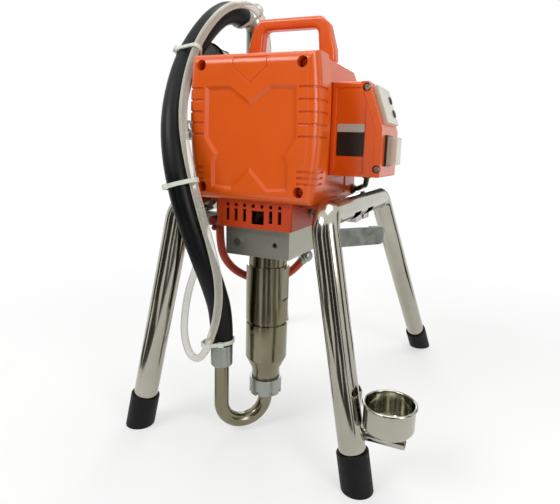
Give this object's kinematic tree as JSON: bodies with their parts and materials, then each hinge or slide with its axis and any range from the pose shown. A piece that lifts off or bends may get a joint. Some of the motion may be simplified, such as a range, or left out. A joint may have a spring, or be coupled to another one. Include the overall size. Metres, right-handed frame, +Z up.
{
  "type": "airless paint sprayer",
  "caption": "Piston airless paint sprayer on a tubular chrome stand with a suction hose, drip cup, control box and carrying handle.",
  "frame": {"origin": "on the floor under the middle of the machine and stand, free hoses left out", "axes": "+Z up, -Y towards the pump and front cover, +X towards the control box"},
  "size_m": [0.3474, 0.4597, 0.5148],
  "materials": {
    "chrome": "bright chrome plate on bent tube",
    "zinc": "zinc plated steel",
    "black_rubber": "moulded rubber",
    "orange_plastic": "injection moulded, semi-gloss",
    "orange_steel": "powder coat on pressed steel",
    "pump_steel": "turned stainless steel",
    "aluminium": "milled, satin",
    "cast_aluminium": "die cast",
    "gear_steel": "machined, oiled",
    "hose_black": "black sleeved hose",
    "clear_tube": "clear PVC tube",
    "white_nylon": "nylon tie",
    "clear_plastic": "clear moulded plastic",
    "black_plastic": "moulded plastic",
    "black_cable": "PVC sheath",
    "red_plastic": "moulded plastic",
    "orange_hose": "hose cover",
    "board_green": "circuit board",
    "packing": "leather and plastic packings",
    "white_enamel": "dial"
  },
  "bodies": {
    "root": {"frame_left": "chrome", "frame_right": "chrome", "foot_front_left": "black_rubber", "foot_front_right": "black_rubber", "foot_rear_left": "black_rubber", "foot_rear_right": "black_rubber", "cross_bars": "chrome", "base_bolts": "zinc", "hose_clip": "zinc", "cup_bracket": "chrome", "drip_cup": "chrome", "pump_cylinder": "pump_steel", "intake_housing": "pump_steel", "rod_packings": "packing", "suction_tube": "chrome", "hose_ferrule": "zinc", "suction_hose": "hose_black", "drain_tube": "clear_tube", "suction_strainer": "zinc", "bearing_block": "aluminium", "lower_guard": "orange_steel", "machine_screws": "zinc", "base_tray": "orange_steel", "drive_housing": "cast_aluminium", "drive_bearings": "gear_steel", "motor_shell": "cast_aluminium", "front_cover": "orange_plastic", "cover_screws": "zinc", "rear_housing": "orange_plastic", "handle": "orange_plastic", "control_box": "orange_plastic", "control_lid": "orange_plastic", "display_window": "clear_plastic", "control_board": "board_green", "switch_frame": "black_plastic", "switch_boot": "clear_plastic", "lid_screws": "zinc", "cable_glands": "black_plastic", "control_cable": "black_cable", "filter_housing": "cast_aluminium", "gauge_case": "chrome", "gauge_lens": "clear_plastic", "prime_valve": "zinc", "link_hose": "orange_hose", "hose_fittings": "zinc", "cable_ties": "white_nylon"},
    "crank": {"crankshaft": "gear_steel"},
    "idler": {"idler_gear": "gear_steel"},
    "rotor": {"motor_rotor": "gear_steel", "motor_fan": "black_plastic"},
    "con_rod": {"connecting_rod": "gear_steel"},
    "plunger": {"displacement_rod": "pump_steel"},
    "upper_ball": {"piston_ball": "pump_steel"},
    "lower_ball": {"intake_ball": "pump_steel"},
    "nut": {"suction_nut": "pump_steel"},
    "knob": {"valve_knob": "red_plastic"},
    "needle": {"gauge_needle": "red_plastic"},
    "rocker": {"switch_rocker": "red_plastic"},
    "key_plus": {"key_up": "black_plastic"},
    "key_minus": {"key_down": "black_plastic"}
  },
  "joints": [
    {"name": "crank_spin", "type": "hinge", "parent": "root", "child": "crank", "pos_m": [-0.01816, -0.13782, 0.34], "axis": [0, 1, 0], "continuous": true},
    {"name": "idler_spin", "type": "hinge", "parent": "root", "child": "idler", "pos_m": [-0.00305, -0.11782, 0.38292], "axis": [0, 1, 0], "continuous": true},
    {"name": "rotor_spin", "type": "hinge", "parent": "root", "child": "rotor", "pos_m": [-0.01816, -0.05982, 0.363], "axis": [0, 1, 0], "continuous": true},
    {"name": "rod_swing", "type": "hinge", "parent": "crank", "child": "con_rod", "pos_m": [-0.01816, -0.15082, 0.326], "axis": [0, 1, 0], "continuous": true},
    {"name": "plunger_slide", "type": "slide", "parent": "root", "child": "plunger", "axis": [0, 0, 1], "range_m": [0, 0.028]},
    {"name": "upper_ball_lift", "type": "slide", "parent": "plunger", "child": "upper_ball", "axis": [0, 0, 1], "range_m": [0, 0.002]},
    {"name": "lower_ball_lift", "type": "slide", "parent": "root", "child": "lower_ball", "axis": [0, 0, 1], "range_m": [0, 0.003]},
    {"name": "nut_turn", "type": "hinge", "parent": "root", "child": "nut", "pos_m": [-0.01816, -0.13982, 0.056], "axis": [0, 0, 1], "continuous": true},
    {"name": "valve_turn", "type": "hinge", "parent": "root", "child": "knob", "pos_m": [-0.08366, -0.15182, 0.2535], "axis": [0, 1, 0], "range_deg": [0, 90]},
    {"name": "needle_turn", "type": "hinge", "parent": "root", "child": "needle", "pos_m": [-0.11616, -0.11082, 0.434], "axis": [0, 1, 0], "range_deg": [0, 270], "stiffness_Nm_per_rad": 0.0001},
    {"name": "rocker_tilt", "type": "hinge", "parent": "root", "child": "rocker", "pos_m": [0.09684, -0.08382, 0.34], "axis": [0, 1, 0], "range_deg": [0, 9]},
    {"name": "key_up_press", "type": "slide", "parent": "root", "child": "key_plus", "axis": [-0.9375, 0, -0.3479], "range_m": [0, 0.0008], "stiffness_N_per_m": 500},
    {"name": "key_down_press", "type": "slide", "parent": "root", "child": "key_minus", "axis": [-0.9375, 0, -0.3479], "range_m": [0, 0.0008], "stiffness_N_per_m": 500}
  ],
  "couplings": [
    {"joint": "idler_spin", "follows": "crank_spin", "ratio": -3.3333},
    {"joint": "rotor_spin", "follows": "crank_spin", "ratio": 10.556},
    {"joint": "rod_swing", "follows": "crank_spin", "ratio": -1}
  ]
}
